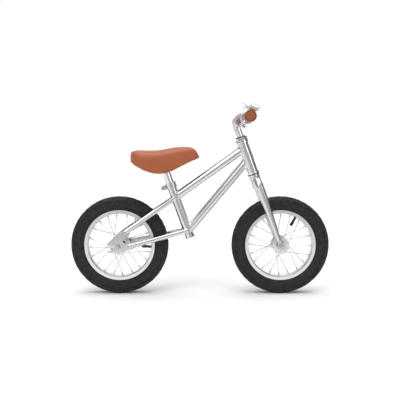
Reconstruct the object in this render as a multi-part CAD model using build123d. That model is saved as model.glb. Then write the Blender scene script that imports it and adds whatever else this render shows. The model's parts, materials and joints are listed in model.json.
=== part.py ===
from build123d import *
from math import cos, radians, sin, sqrt, tan
import os

# Balance bike for a small child, with 12.5 inch air tyres on spoked wheels.
# Frame: +X forward, +Y to the rider's left, +Z up, millimetres.
# Origin: on the ground, midway between the two wheels.

# ---- Wheels and stance ----
WHEELBASE = 498.0
TYRE_R = 151.0
TYRE_WIDTH = 47.0
TREAD_WALL = 4.5
SIDE_WALL = 3.4
TYRE_WIDEST_R = 127.0
BEAD_SEAT_R = 101.5
RIM_OUTER_R = 109.0
RIM_WELL_R = 97.0
RIM_HALF_WIDTH = 15.0
RIM_WALL = 2.0
SPOKE_COUNT = 20
SPOKE_D = 2.0
SPOKE_HEAD_D = 4.0
NIPPLE_D = 4.0
NIPPLE_LENGTH = 11.0
NIPPLE_HEAD_D = 5.6
NIPPLE_HEAD_H = 1.4
RIM_STAGGER = 3.0
TUBE_WALL = 1.4
TUBE_SLACK = 3.1
VALVE_D = 8.0
VALVE_END_R = 68.0
VALVE_BORE_D = 3.0
FRONT_VALVE_ANGLE = 61.0
REAR_VALVE_ANGLE = -4.0
FRONT_FIRST_SPOKE = 89.0
REAR_FIRST_SPOKE = 95.0

# ---- Hubs and axles ----
FLANGE_D = 52.0
FLANGE_T = 2.6
SPOKE_CIRCLE_D = 46.0
HUB_BARREL_D = 28.0
HUB_END_D = 32.0
FRONT_OLD = 84.0
REAR_OLD = 110.0
CONE_STAND_OUT = 9.0
FLANGE_INSET = 9.0
BALL_D = 6.0
BALLS_PER_RACE = 9
AXLE_D = 10.0
AXLE_END_D = AXLE_D - 0.4
AXLE_END_LENGTH = 5.0
BALL_CIRCLE_D = AXLE_D + 8.0
PLATE_T = 5.0
WASHER_D = 20.0
WASHER_T = 1.5
AXLE_NUT_AF = 15.0
AXLE_NUT_T = 8.0
AXLE_STUB = AXLE_END_LENGTH + 1.0

# ---- Frame tubes ----
LEAN = 20.0
SEAT_TUBE_D = 28.6
SEAT_TUBE_LENGTH = 180.0
SEAT_TUBE_FOOT_X = TYRE_R + 67.2 - WHEELBASE / 2
SEAT_TUBE_FOOT_Z = TYRE_R + 22.7
SEAT_POST_D = 25.4
MAIN_TUBE_D = 25.4
TUBE_T = 1.6
TOP_TUBE_UP_SEAT = 133.3
DOWN_TUBE_UP_SEAT = 20.2
STAY_D = 16.0
SEAT_STAY_FRONT_Y = 8.0
CHAIN_STAY_FRONT_Y = 12.0
CHAIN_STAY_UP_SEAT = 24.0
HEAD_TUBE_D = 34.0
HEAD_TUBE_BORE_D = 30.2
HEAD_TUBE_LENGTH = 93.3
HEAD_TUBE_UP = TYRE_R + 91.6
TOP_TUBE_UP_HEAD = 76.0
DOWN_TUBE_UP_HEAD = 40.9
BADGE_LENGTH = 30.0
BADGE_WIDTH = 16.0
BADGE_T = 1.6
BADGE_UP = 51.0
SLOT_CLEARANCE = 0.2

# ---- Seat clamp, post and saddle ----
COLLAR_D = SEAT_TUBE_D + 5.4
COLLAR_H = 17.0
COLLAR_EAR_BACK = SEAT_TUBE_D / 2 + 16.7
COLLAR_EAR_HALF_Y = 8.0
COLLAR_BOLT_BACK = SEAT_TUBE_D / 2 + 8.7
COLLAR_BOLT_D = 5.0
SLIT_W = 2.4
POST_LENGTH = 172.0
POST_TOP = 240.0
SADDLE_BOLT_DROP = 9.0
SADDLE_BOLT_D = 8.0
RAIL_D = 7.0
RAIL_Y = 22.0
RAIL_ABOVE_BOLT = 12.0
RAIL_STRAIGHT = 80.0
RAIL_RISE = 12.5
RAIL_RUN_OUT = 14.0
PAD_T = 22.0
PAN_T = 3.0
PAN_RAISE = 3.0
SKIRT_T = 7.0
# Saddle cross-sections: distance from the tail, half width, underside, top.
# Both heights are measured from the saddle bolt.
SADDLE_SECTIONS = [
    (3.5, 30.0, 23.0, 40.0),
    (7.5, 48.0, 17.0, 48.0),
    (20.0, 62.0, 7.0, 52.5),
    (41.0, 69.0, -5.0, 51.5),
    (66.0, 68.0, -15.0, 51.3),
    (94.0, 61.0, -20.0, 53.0),
    (121.0, 50.0, -15.0, 58.0),
    (151.0, 40.0, -1.0, 62.8),
    (179.0, 33.0, 14.0, 64.0),
    (198.0, 26.0, 23.0, 57.8),
    (209.0, 17.0, 28.0, 44.0),
    (213.5, 8.0, 30.5, 35.5),
]
SADDLE_TAIL_BACK = 105.0
# Corner radii of the sections, as shares of their smaller side.
SADDLE_TOP_ROUNDING = 0.42
SADDLE_LOW_ROUNDING = 0.15

# ---- Fork ----
RAKE = 4.0
CROWN_D = 34.0
CROWN_LENGTH = 42.5
CROWN_SEAT_DROP = 8.5
LEG_OFFSET = 2.0
LEG_D = 25.0
LEG_TIP_D = 15.0
LEG_WALL = 1.6
LEG_TAPER_TOP = 150.0
LEG_FOOT = 20.0
LEG_BEND_R = 24.0
LEG_CROWN_UP = 12.0
FORK_EYE_D = 27.0
FORK_END_WIDTH = 12.0
FORK_END_LENGTH = 52.0
STEERER_D = 25.4

# ---- Headset ----
CUP_D = 38.0
CUP_H = 5.5
CUP_SKIRT = 10.0
RACE_D = 34.5
HEAD_BALL_D = 4.8
HEAD_BALL_CIRCLE_D = 30.4
HEAD_BALLS = 16
ADJUSTER_D = 40.0
ADJUSTER_H = 3.6
LOCK_WASHER_D = 33.0
LOCK_WASHER_T = 1.2
LOCKNUT_AF = 34.0
LOCKNUT_H = 6.0
TOP_SEAL_D = 30.0
TOP_SEAL_H = 3.2

# ---- Stem, handlebar, grips ----
QUILL_D = 22.2
QUILL_BORE_D = 17.0
QUILL_TOP = 405.0
QUILL_LENGTH = 150.0
STEM_REACH = 38.9
STEM_CLAMP_UP = 403.7
STEM_CLAMP_D = 40.0
STEM_CLAMP_WIDTH = 38.0
STEM_ARM_WIDTH = 26.0
STEM_SPLIT = 2.4
EXPANDER_D = 8.0
EXPANDER_HEAD_D = 13.0
EXPANDER_HEAD_H = 7.0
WEDGE_LENGTH = 28.0
CLAMP_BOLT_D = 6.0
CLAMP_BOLT_OUT = 24.0
EAR_HALF = 11.0
BAR_D = 22.2
BAR_WALL = 1.8
BAR_HALF = 197.0
BAR_CENTRE_HALF = 48.0
BAR_END_BACK = 7.5
BAR_END_DROP = 6.0
BAR_BEND_R = 300.0
GRIP_LENGTH = 105.0
GRIP_D = 30.0
GRIP_END_D = 35.0
GRIP_END_T = 6.0
GRIP_CAP_T = 3.0

# ---- Bell ----
BELL_Y = -70.0
BELL_TIP_DOWN = 22.0
BELL_ABOVE_BAR = BAR_D / 2 + 17.1
BELL_DOME_D = 28.0
BELL_DOME_WALL = 1.6
BELL_DOME_BACK = 11.0
BELL_DOME_FRONT = 14.0
BELL_BAND_T = 2.0
BELL_BAND_WIDTH = 12.0
BELL_POST_T = 3.0
BELL_SCREW_D = 5.0
BELL_PIN_D = 2.5
BELL_PIVOT_BACK = 19.6
BELL_PIVOT_DROP = 3.0
BELL_LEVER_TIP_BACK = 37.0

# ---- Clearances ----
TOUCH_GAP = 0.3
RUN_GAP = 0.05
BALL_GAP = 0.1

# ---- Worked-out places ----
REAR_AXLE = Vector(-WHEELBASE / 2, 0, TYRE_R)
FRONT_AXLE = Vector(WHEELBASE / 2, 0, TYRE_R)
UP = Vector(-sin(radians(LEAN)), 0, cos(radians(LEAN)))
AHEAD = Vector(cos(radians(LEAN)), 0, sin(radians(LEAN)))
SIDE = Vector(0, 1, 0)
STEER_FOOT = FRONT_AXLE - AHEAD * RAKE
SEAT_FOOT = Vector(SEAT_TUBE_FOOT_X, 0, SEAT_TUBE_FOOT_Z)
HEAD_TOP_UP = HEAD_TUBE_UP + HEAD_TUBE_LENGTH
CROWN_TOP = HEAD_TUBE_UP - CROWN_SEAT_DROP
CROWN_FOOT = CROWN_TOP - CROWN_LENGTH
LEG_Y = FRONT_OLD / 2 + PLATE_T / 2
STAY_Y = REAR_OLD / 2 + PLATE_T / 2


def seat_point(up, ahead=0.0, side=0.0):
    """A point given along the seat tube, ahead of it and to its left."""
    return SEAT_FOOT + UP * up + AHEAD * ahead + SIDE * side


def fork_point(up, ahead=0.0, side=0.0):
    """A point given along the steering axis, ahead of it and to its left."""
    return STEER_FOOT + UP * up + AHEAD * ahead + SIDE * side


def rod(start, end, d, start_d=None):
    """A round rod between two points, tapered if start_d is given."""
    start, end = Vector(*start), Vector(*end)
    span = end - start
    frame = Plane(origin=start + span * 0.5, z_dir=span)
    if start_d is None or start_d == d:
        return frame * Cylinder(d / 2, span.length)
    return frame * Cone(start_d / 2, d / 2, span.length)


def pipe(start, end, d, wall):
    """A round tube, open at both ends."""
    return rod(start, end, d) - rod(start, end, d - 2 * wall)


def turned(outline):
    """A solid of revolution about Z from (radius, height) points."""
    return revolve(Plane.XZ * make_face(Polyline(*outline, close=True)), Axis.Z)


def ring(inner_d, outer_d, low, high):
    return turned([(inner_d / 2, low), (outer_d / 2, low), (outer_d / 2, high), (inner_d / 2, high)])


def on_steering(part):
    """Moves a part made about Z onto the steering axis."""
    return Plane(origin=STEER_FOOT, x_dir=AHEAD, z_dir=UP) * part


def on_seat_tube(part):
    return Plane(origin=SEAT_FOOT, x_dir=AHEAD, z_dir=UP) * part


def on_axle(part, axle):
    """Moves a part made about Z onto a wheel axle, +Z to the right."""
    return Plane(origin=axle, x_dir=(1, 0, 0), z_dir=(0, -1, 0)) * part


def mirrored(part):
    return mirror(part, about=Plane.XZ)


def flat_plate(points, y_low, y_high):
    """A plate parallel to the bike's mid-plane, from (x, z) points."""
    face = Plane.XZ * make_face(Polyline(*points, close=True))
    return Pos(0, y_high, 0) * extrude(face, amount=y_high - y_low, dir=(0, -1, 0))


def hex_nut(across_flats, bore, low, high):
    """A hexagon nut about Z with turned-off corners."""
    blank = Pos(0, 0, low) * extrude(RegularPolygon(across_flats / 2, 6, major_radius=False), high - low)
    corner_r = across_flats / sqrt(3)
    turned_off = turned([(0, low), (across_flats / 2, low), (corner_r, low + 1), (corner_r, high - 1),
                         (across_flats / 2, high), (0, high)])
    return (blank & turned_off) - Pos(0, 0, (low + high) / 2) * Cylinder(bore / 2, high - low)


def save(name, *solids):
    """Writes one node; several pieces become a group of separate solids."""
    pieces = [solid for piece in solids for solid in piece.solids()]
    export_step(pieces[0] if len(pieces) == 1 else Compound(children=pieces), f"parts/{name}.step")


# ---------------------------------------------------------------- wheels
def tyre():
    """Casing open towards the rim, with beads that sit in it."""
    half = TYRE_WIDTH / 2
    heel_r = BEAD_SEAT_R + TOUCH_GAP
    edge_r = RIM_OUTER_R + 1.0
    bead_y = RIM_HALF_WIDTH - RIM_WALL - TOUCH_GAP
    inner_half = half - SIDE_WALL
    shoulder = (TYRE_R - 8.5, half - 5.0)
    inner_shoulder = (TYRE_R - 10.5, half - 8.0)
    toe_y = bead_y - 4.0

    def low(point):
        return (point[0], -point[1])

    edges = [
        Line((heel_r, bead_y), (edge_r, bead_y)),
        ThreePointArc((edge_r, bead_y), (TYRE_WIDEST_R, half), shoulder),
        ThreePointArc(shoulder, (TYRE_R, 0), low(shoulder)),
        ThreePointArc(low(shoulder), (TYRE_WIDEST_R, -half), (edge_r, -bead_y)),
        Line((edge_r, -bead_y), (heel_r, -bead_y)),
        Line((heel_r, -bead_y), (heel_r, -toe_y)),
        Line((heel_r, -toe_y), (edge_r, -toe_y)),
        ThreePointArc((edge_r, -toe_y), (TYRE_WIDEST_R, -inner_half), low(inner_shoulder)),
        ThreePointArc(low(inner_shoulder), (TYRE_R - TREAD_WALL, 0), inner_shoulder),
        ThreePointArc(inner_shoulder, (TYRE_WIDEST_R, inner_half), (edge_r, toe_y)),
        Line((edge_r, toe_y), (heel_r, toe_y)),
        Line((heel_r, toe_y), (heel_r, bead_y)),
    ]
    return revolve(Plane.XZ * make_face(edges), Axis.Z)


def radial_rod(r_in, r_out, d, angle):
    """A rod along a radius in the wheel's plane, z = 0."""
    across = Vector(cos(radians(angle)), sin(radians(angle)), 0)
    return rod(across * r_in, across * r_out, d)


def inner_tube(valve_angle):
    """Air tube under the tread, with its rubber valve through the rim."""
    crown_r = TYRE_R - TREAD_WALL - TOUCH_GAP
    section_r = TYRE_WIDTH / 2 - SIDE_WALL - TUBE_SLACK
    ring_r = crown_r - section_r
    skin = Torus(ring_r, section_r)
    air = Torus(ring_r, section_r - TUBE_WALL)
    foot_r = ring_r - section_r + TUBE_WALL / 2
    stem = radial_rod(VALVE_END_R, foot_r, VALVE_D, valve_angle)
    cap = radial_rod(VALVE_END_R, VALVE_END_R + 13, VALVE_D + 1.6, valve_angle)
    bore = radial_rod(VALVE_END_R - 1, ring_r, VALVE_BORE_D, valve_angle)
    return skin + stem + cap - air - bore


def rim_body():
    """U-shaped alloy rim: hooked side walls, tyre seats and a well."""
    half, wall = RIM_HALF_WIDTH, RIM_WALL
    seat = BEAD_SEAT_R
    upper = [
        (RIM_WELL_R, 7.0), (seat - wall, half - 3.0), (seat - wall + 0.6, half),
        (RIM_OUTER_R, half), (RIM_OUTER_R, half - wall), (seat, half - wall),
        (seat, 9.0), (RIM_WELL_R + wall, 6.0),
    ]
    lower = [(r, -y) for r, y in reversed(upper)]
    return turned(upper + lower)


def spoke_line(flange_y, outside, first_angle):
    """Hub end and rim end of the reference spoke on one flange."""
    side = 1 if flange_y > 0 else -1
    lead = 360 / SPOKE_COUNT * 2
    hub_r = SPOKE_CIRCLE_D / 2
    # An outside spoke leans in over the flange's edge, so it starts further out.
    slope = abs(flange_y) / (RIM_WELL_R - hub_r)
    edge_run = 1.5 * (FLANGE_D / 2 - hub_r)
    offset = FLANGE_T / 2 + SPOKE_D / 2 + 2 * RUN_GAP + (edge_run * slope if outside else 0)
    hub_y = flange_y + side * (offset if outside else -offset)
    hub_angle = first_angle + (0 if outside else lead) + (0 if side > 0 else lead / 2)
    rim_angle = hub_angle + (lead if outside else -lead)
    start = Vector(hub_r * cos(radians(hub_angle)), hub_r * sin(radians(hub_angle)), hub_y)
    end = Vector(RIM_WELL_R * cos(radians(rim_angle)), RIM_WELL_R * sin(radians(rim_angle)),
                 side * RIM_STAGGER)
    return start, end


def wheel_nodes(prefix, axle, old, valve_angle, first_angle):
    """All the pieces that spin with one wheel."""
    hub_half = old / 2 - CONE_STAND_OUT
    flange_y = hub_half - FLANGE_INSET
    repeats = SPOKE_COUNT // 4
    turns = [Rot(0, 0, k * 360 / repeats) for k in range(repeats)]
    spokes, nipples, rim_holes, flange_holes = [], [], [], []
    for flange in (flange_y, -flange_y):
        for outside in (True, False):
            start, end = spoke_line(flange, outside, first_angle)
            along = (end - start).normalized()
            lean = along.get_angle(Vector(end.X, end.Y, 0))
            floor = RIM_WALL / cos(radians(lean)) + NIPPLE_HEAD_D / 2 * tan(radians(lean)) + BALL_GAP
            towards = 1 if (flange - start.Z) > 0 else -1
            head = Vector(start.X, start.Y, flange + towards * (FLANGE_T / 2 + 2 * RUN_GAP))
            head_end = head + Vector(0, 0, towards * 1.2)
            spoke = rod(start, end + along * 1.0, SPOKE_D) + Pos(*start) * Sphere(SPOKE_D / 2)
            spoke = spoke + rod(start, head_end, SPOKE_D) + rod(head, head_end, SPOKE_HEAD_D)
            shank = rod(end - along * NIPPLE_LENGTH, end + along * (floor + 0.5), NIPPLE_D)
            cap = rod(end + along * floor, end + along * (floor + NIPPLE_HEAD_H), NIPPLE_HEAD_D)
            bore = rod(end - along * (NIPPLE_LENGTH + 1), end + along * 1.5, SPOKE_D + 2 * RUN_GAP)
            nipple = shank + cap - bore
            hole = rod(end - along * 4, end + along * (RIM_WALL + 4), NIPPLE_D + 4 * RUN_GAP)
            flange_hole = rod(start, head, SPOKE_D + 4 * RUN_GAP)
            for turn in turns:
                spokes.append(turn * spoke)
                nipples.append(turn * nipple)
                rim_holes.append(turn * hole)
                flange_holes.append(turn * flange_hole)
    valve_hole = radial_rod(RIM_WELL_R - 5, BEAD_SEAT_R + 5, VALVE_D + 2 * TOUCH_GAP, valve_angle)
    rim = rim_body() - rim_holes - valve_hole
    hub = hub_shell(hub_half, flange_y) - flange_holes
    ball_z = hub_half - BALL_D / 2 - 2.0
    balls = []
    for z in (ball_z, -ball_z):
        for k in range(BALLS_PER_RACE):
            place = Rot(0, 0, k * 360 / BALLS_PER_RACE) * Pos(BALL_CIRCLE_D / 2, 0, z)
            balls.append(place * Sphere(BALL_D / 2))
    save(f"{prefix}_tyre", on_axle(tyre(), axle))
    save(f"{prefix}_inner_tube", on_axle(inner_tube(valve_angle), axle))
    save(f"{prefix}_rim", on_axle(rim, axle))
    save(f"{prefix}_spokes", *[on_axle(spoke, axle) for spoke in spokes])
    save(f"{prefix}_nipples", *[on_axle(nipple, axle) for nipple in nipples])
    save(f"{prefix}_hub", on_axle(hub, axle))
    save(f"{prefix}_hub_balls", *[on_axle(ball, axle) for ball in balls])


def hub_shell(half, flange_y):
    """Hub barrel with two spoke flanges and a ball cup in each end."""
    cup_r = BALL_CIRCLE_D / 2 + BALL_D / 2 + BALL_GAP
    cup_floor = half - BALL_D - 2.0 - BALL_GAP
    bore_r = AXLE_D / 2 + 2.0
    flange_r, end_r, barrel_r = FLANGE_D / 2, HUB_END_D / 2, HUB_BARREL_D / 2
    inner, outer = flange_y - FLANGE_T / 2, flange_y + FLANGE_T / 2
    upper = [
        (barrel_r, inner - 6.0), (end_r, inner), (flange_r, inner), (flange_r, outer),
        (end_r, outer), (end_r, half), (cup_r, half), (cup_r, cup_floor), (bore_r, cup_floor),
    ]
    lower = [(r, -y) for r, y in reversed(upper)]
    return turned(upper + lower)


def axle_nodes(prefix, axle, old):
    """What holds the wheel and doesn't spin: axle, cones, washers, nuts."""
    inner_face = old / 2
    outer_face = inner_face + PLATE_T
    nut_face = outer_face + WASHER_T
    half = nut_face + AXLE_NUT_T + AXLE_STUB
    bore = AXLE_D + 2 * RUN_GAP
    ball_z = old / 2 - CONE_STAND_OUT - BALL_D / 2 - 2.0
    seat_r = BALL_CIRCLE_D / 2 - BALL_D / 2 - BALL_GAP
    shoulder_z = ball_z + BALL_D / 2 + BALL_GAP
    cone_r = BALL_CIRCLE_D / 2 + 1.5
    cone = turned([(bore / 2, ball_z - 3), (seat_r, ball_z - 3), (seat_r, shoulder_z), (cone_r, shoulder_z),
                   (cone_r, inner_face - 5), (8.0, inner_face - 5), (8.0, inner_face),
                    (bore / 2, inner_face)])
    washer = ring(bore, WASHER_D, outer_face, nut_face)
    nut = hex_nut(AXLE_NUT_AF, bore, nut_face, nut_face + AXLE_NUT_T)
    flip = Rot(180, 0, 0)
    shoulder = half - AXLE_END_LENGTH
    upper = [(AXLE_D / 2, shoulder), (AXLE_END_D / 2, shoulder), (AXLE_END_D / 2, half), (0, half)]
    lower = [(r, -z) for r, z in reversed(upper)]
    save(f"{prefix}_axle", on_axle(turned(upper + lower), axle))
    save(f"{prefix}_hub_cones", on_axle(cone, axle), on_axle(flip * cone, axle))
    save(f"{prefix}_axle_nuts", *[on_axle(piece, axle) for piece in (washer, nut, flip * washer, flip * nut)])


# ----------------------------------------------------------------- frame
def frame_nodes():
    head_low, head_high = fork_point(HEAD_TUBE_UP), fork_point(HEAD_TOP_UP)
    head_solid = rod(head_low, head_high, HEAD_TUBE_D)
    seat_low = seat_point(4.0)
    seat_high = seat_point(SEAT_TUBE_LENGTH)
    seat_solid = rod(seat_low, seat_high, SEAT_TUBE_D)
    seat_bore_d = SEAT_POST_D + 2 * RUN_GAP
    seat_bore = rod(seat_point(-5), seat_point(SEAT_TUBE_LENGTH + 5), seat_bore_d)
    slit = on_seat_tube(Pos(-SEAT_TUBE_D / 2, 0, SEAT_TUBE_LENGTH - 15) * Box(SEAT_TUBE_D, SLIT_W, 30.2))
    save("head_tube", pipe(head_low, head_high, HEAD_TUBE_D, (HEAD_TUBE_D - HEAD_TUBE_BORE_D) / 2))
    save("seat_tube", seat_solid - seat_bore - slit)

    for name, up_seat, up_head in (("top_tube", TOP_TUBE_UP_SEAT, TOP_TUBE_UP_HEAD),
                                   ("down_tube", DOWN_TUBE_UP_SEAT, DOWN_TUBE_UP_HEAD)):
        start = seat_point(up_seat)
        end = fork_point(HEAD_TUBE_UP + up_head)
        tube = pipe(start, end, MAIN_TUBE_D, TUBE_T) - seat_solid - head_solid
        save(name, max(tube.solids(), key=lambda solid: solid.volume))

    lip_r = SEAT_TUBE_D / 2 + 1.3
    spigot_r = SEAT_POST_D / 2
    plug = turned([(0, 0), (lip_r, 0), (lip_r, 4), (spigot_r, 4), (spigot_r, 14), (spigot_r - 2, 14),
                   (spigot_r - 2, 3), (0, 3)])
    save("seat_tube_plug", on_seat_tube(plug))

    plates = dropout_plate()
    for name, up_seat, front_y, back, raise_z in (
            ("seat_stays", TOP_TUBE_UP_SEAT, SEAT_STAY_FRONT_Y, 24.0, 46.0),
            ("chain_stays", CHAIN_STAY_UP_SEAT, CHAIN_STAY_FRONT_Y, 34.0, 3.0)):
        start = seat_point(up_seat, side=front_y)
        end = REAR_AXLE + Vector(back, STAY_Y, raise_z)
        stay = pipe(start, end, STAY_D, TUBE_T) - seat_solid - plates
        stay = max(stay.solids(), key=lambda solid: solid.volume)
        save(name, stay, mirrored(stay))
    save("dropouts", plates, mirrored(plates))

    # Blank badge, curved to the front of the head tube.
    shell = ring(HEAD_TUBE_D + 0.02, HEAD_TUBE_D + 2 * BADGE_T, BADGE_UP - BADGE_LENGTH,
                 BADGE_UP + BADGE_LENGTH)
    oval = extrude(Ellipse(BADGE_LENGTH / 2, BADGE_WIDTH / 2), 30, both=True)
    outline = Pos(20, 0, BADGE_UP) * Rot(0, 90, 0) * oval
    badge = Pos(0, 0, HEAD_TUBE_UP) * (shell & outline)
    badge = max(badge.solids(), key=lambda solid: solid.center().X)
    save("head_badge", on_steering(badge))


def dropout_plate():
    """Left rear plate: two arms to the stays and a slot open to the rear."""
    slot = AXLE_D / 2 + SLOT_CLEARANCE
    outline = [
        (-31.5, 6.5), (-31.9, 12.5), (-16.0, 25.5), (7.0, 44.5), (18.5, 51.2), (38.0, 53.0),
        (29.0, 35.0), (15.0, 17.0), (20.0, 13.0), (48.0, 13.0), (48.0, -3.0), (41.0, -5.5),
        (7.0, -14.5), (-28.0, -17.5), (-29.0, -11.0), (-14.0, -9.0), (-8.0, -slot),
        (0.0, -slot), (0.0, slot), (-8.0, slot),
    ]
    points = [(REAR_AXLE.X + x, REAR_AXLE.Z + z) for x, z in outline]
    plate = flat_plate(points, REAR_OLD / 2, REAR_OLD / 2 + PLATE_T)
    seat = on_axle(Pos(0, 0, -REAR_OLD / 2) * Cylinder(slot, 3 * PLATE_T), REAR_AXLE)
    return plate - seat


def seat_clamp_nodes():
    low = SEAT_TUBE_LENGTH - COLLAR_H + 1.0
    mid = low + COLLAR_H / 2
    ear_h = 12.5
    band = Pos(0, 0, mid) * Cylinder(COLLAR_D / 2, COLLAR_H)
    ears = Pos(-COLLAR_EAR_BACK / 2, 0, mid) * Box(COLLAR_EAR_BACK, 2 * COLLAR_EAR_HALF_Y, ear_h)
    ears = fillet(ears.edges().filter_by(Axis.Y).group_by(Axis.X)[0], 4.0)
    bore = Pos(0, 0, mid) * Cylinder(SEAT_TUBE_D / 2 + RUN_GAP, 2 * COLLAR_H)
    split = Pos(-COLLAR_D / 2, 0, mid) * Box(COLLAR_D, SLIT_W, 2 * COLLAR_H)
    bolt_at = Pos(-COLLAR_BOLT_BACK, 0, mid) * Rot(90, 0, 0)
    hole = bolt_at * Cylinder(COLLAR_BOLT_D / 2 + RUN_GAP, 60)
    save("seat_clamp_collar", on_seat_tube(band + ears - bore - split - hole))
    face = COLLAR_EAR_HALF_Y
    head = hex_nut(8.0, 1.0, face, face + 4.5)
    socket = ring(COLLAR_BOLT_D + 2 * RUN_GAP, 9.0, -face - 4.5, -face)
    screw_r = COLLAR_BOLT_D / 2
    screw = turned([(0, -face - 4), (screw_r, -face - 4), (screw_r, face + 1), (0, face + 1)])
    save("seat_clamp_bolt", on_seat_tube(bolt_at * (screw + head)), on_seat_tube(bolt_at * socket))


# ------------------------------------------------------------- seat post
def seat_post_nodes():
    bolt_up = POST_TOP - SADDLE_BOLT_DROP
    bolt_centre = seat_point(bolt_up)
    tube = rod(seat_point(POST_TOP - POST_LENGTH), seat_point(POST_TOP), SEAT_POST_D)
    inside = rod(seat_point(POST_TOP - POST_LENGTH - 1), seat_point(POST_TOP - 20), SEAT_POST_D - 4)
    hole = rod(bolt_centre - SIDE * 30, bolt_centre + SIDE * 30, SADDLE_BOLT_D + 2 * RUN_GAP)
    save("seat_post", tube - inside - hole)

    cheek_in = SEAT_POST_D / 2 + TOUCH_GAP
    cheek_out = RAIL_Y + RAIL_D / 2 + 2.5
    shank = rod(bolt_centre - SIDE * (cheek_out + 7), bolt_centre + SIDE * (cheek_out + 1), SADDLE_BOLT_D)
    upright = Plane(origin=bolt_centre, x_dir=(1, 0, 0), z_dir=(0, 1, 0))
    head = upright * hex_nut(13.0, 1.0, cheek_out, cheek_out + 5.5)
    nut = upright * hex_nut(13.0, SADDLE_BOLT_D + 2 * RUN_GAP, -cheek_out - 6.0, -cheek_out)
    save("saddle_bolt", shank + head, nut)

    # Cheeks grip the rails and tilt about the bolt.
    def local(points):
        return [(bolt_centre.X + x, bolt_centre.Z + z) for x, z in points]

    top = RAIL_ABOVE_BOLT + RAIL_D / 2 + 3
    cheek_shape = local([(-9, -9), (9, -9), (15, 4), (15, top), (-15, top), (-15, 4)])
    cheek = flat_plate(cheek_shape, cheek_in, cheek_out)
    cheek = cheek - rod(bolt_centre, bolt_centre + SIDE * 40, SADDLE_BOLT_D + 2 * RUN_GAP)
    rail_z = bolt_centre.Z + RAIL_ABOVE_BOLT
    mid_x = bolt_centre.X
    half = RAIL_STRAIGHT / 2
    points = [
        (mid_x - half - RAIL_RUN_OUT, RAIL_Y, rail_z + RAIL_RISE), (mid_x - half, RAIL_Y, rail_z),
        (mid_x + half, RAIL_Y, rail_z), (mid_x + half + RAIL_RUN_OUT, RAIL_Y, rail_z + RAIL_RISE),
    ]
    path = FilletPolyline(*points, radius=12)
    start = Plane(origin=path @ 0, z_dir=path % 0)
    rail = sweep(start * Circle(RAIL_D / 2), path=path)
    cheek = cheek - rail
    save("saddle_clamp", cheek, mirrored(cheek))
    save("saddle_rails", rail, mirrored(rail))
    saddle_nodes(bolt_centre, rail)


def saddle_form(bolt, side_in, top_in, low_in, ends):
    """The saddle's form, or the same form drawn in from its surface."""
    faces = []
    for along, half, low, high in SADDLE_SECTIONS[ends:len(SADDLE_SECTIONS) - ends]:
        width = 2 * (half - side_in)
        bottom = low + low_in
        height = (high - top_in) - bottom
        section = Rectangle(width, height)
        smaller = min(width, height)
        section = fillet(section.vertices().group_by(Axis.Y)[-1], SADDLE_TOP_ROUNDING * smaller)
        section = fillet(section.vertices().group_by(Axis.Y)[0], SADDLE_LOW_ROUNDING * smaller)
        plane = Plane(origin=(bolt.X - SADDLE_TAIL_BACK + along, 0, bolt.Z + bottom + height / 2),
                      x_dir=(0, 1, 0), z_dir=(1, 0, 0))
        faces.append(plane * section)
    return loft(faces)


def saddle_nodes(bolt, rail):
    """Padded cover over a stiff pan; the skirt hides the clamp."""
    outer = saddle_form(bolt, 0, 0, 0, 0)
    hollow = saddle_form(bolt, SKIRT_T, PAD_T, -30, 2)
    save("saddle_cover", outer - hollow)
    pan_outer = saddle_form(bolt, SKIRT_T + TOUCH_GAP, PAD_T + TOUCH_GAP, -30, 2)
    pan_inner = saddle_form(bolt, SKIRT_T + TOUCH_GAP + PAN_T, PAD_T + TOUCH_GAP + PAN_T, -50, 2)
    above_edge = saddle_form(bolt, 0, 0, PAN_RAISE, 0)
    pan = (pan_outer - pan_inner) & above_edge
    bosses = []
    for x in (-1, 1):
        centre = Vector(bolt.X + x * (RAIL_STRAIGHT / 2 + RAIL_RUN_OUT - 2), RAIL_Y, bolt.Z + 40)
        bosses.append(Pos(*centre) * Cylinder(7.5, 44))
    boss = (bosses[0] + bosses[1]) & pan_outer
    pan = pan + boss + mirrored(boss) - rail - mirrored(rail)
    save("saddle_base", max(pan.solids(), key=lambda solid: solid.volume))


# ------------------------------------------------------------------ fork
def fork_leg(extra):
    """Left leg's solid form; extra is negative for the bore."""
    r, tip_r = LEG_D / 2 + extra, LEG_TIP_D / 2 + extra
    foot = LEG_FOOT - extra
    bend_up = CROWN_TOP - LEG_CROWN_UP - LEG_D / 2 + 4.0 - LEG_BEND_R
    taper_top = fork_point(LEG_TAPER_TOP, LEG_OFFSET, LEG_Y)
    taper = rod(fork_point(foot, LEG_OFFSET, LEG_Y), taper_top, 2 * r, 2 * tip_r)
    straight = rod(taper_top, fork_point(bend_up, LEG_OFFSET, LEG_Y), 2 * r)
    centre = fork_point(bend_up, LEG_OFFSET, LEG_Y - LEG_BEND_R)
    section = Plane(origin=fork_point(bend_up, LEG_OFFSET, LEG_Y), x_dir=SIDE, z_dir=UP) * Circle(r)
    bend = revolve(section, Axis(centre, AHEAD), 90)
    inward_start = fork_point(bend_up + LEG_BEND_R, LEG_OFFSET, LEG_Y - LEG_BEND_R)
    inward = rod(inward_start, fork_point(bend_up + LEG_BEND_R, LEG_OFFSET, 0), 2 * r)
    return taper + straight + bend + inward


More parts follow.
